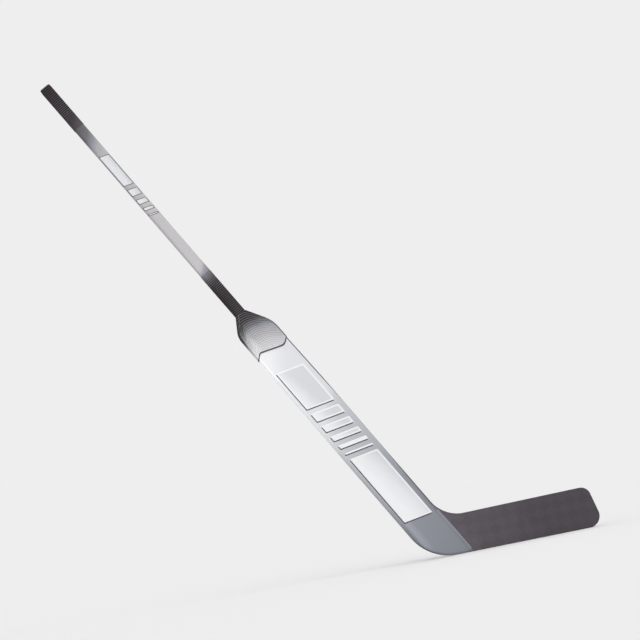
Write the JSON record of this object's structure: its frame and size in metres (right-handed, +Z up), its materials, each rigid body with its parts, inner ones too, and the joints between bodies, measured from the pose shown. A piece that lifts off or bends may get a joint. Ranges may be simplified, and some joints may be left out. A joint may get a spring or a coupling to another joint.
{
  "type": "hockey goalie stick",
  "caption": "Goalie's hockey stick: hollow shaft with ribbed grips, flared moulded shoulder, wide flat paddle and a bowed carbon blade for stopping and playing the puck",
  "frame": {"origin": "on the shaft's centre line at the tip of the paddle's shoulder, where the blocker hand holds the stick", "axes": "+Z up in the playing stance, +X level along the blade towards its toe, +Y behind the striking face, which looks towards -Y; the shaft leans 29.5 degrees from +Z towards -X and the sole is level below the origin"},
  "size_m": [1.0236, 0.0297, 1.2035],
  "materials": {
    "shaft_paint": "silver lacquer over carbon",
    "grip_rubber": "matt ribbed",
    "collar_paint": "satin lacquer fading from dark to silver",
    "paddle_paint": "satin lacquer fading from white to grey",
    "rail_paint": "satin lacquer fading from white to grey",
    "blade_carbon": "spread-tow carbon weave",
    "laminate": "bare carbon laminate",
    "core_foam": "closed-cell foam",
    "seam_filler": "painted filler"
  },
  "bodies": {
    "root": {"shaft_tube": "shaft_paint", "butt_end_plug": "grip_rubber", "upper_grip": "grip_rubber", "lower_grip": "grip_rubber", "shoulder_collar": "collar_paint", "paddle_front_skin": "paddle_paint", "paddle_back_skin": "paddle_paint", "outer_rail": "rail_paint", "inner_rail": "rail_paint", "paddle_spine": "laminate", "paddle_core_outer": "core_foam", "paddle_core_inner": "core_foam", "heel_core": "core_foam", "blade_front_skin": "blade_carbon", "blade_back_skin": "blade_carbon", "blade_edge_band": "blade_carbon", "blade_bridge": "laminate", "blade_core_lower": "core_foam", "blade_core_upper": "core_foam", "seam_bead_front": "seam_filler", "seam_bead_back": "seam_filler"}
  },
  "joints": []
}
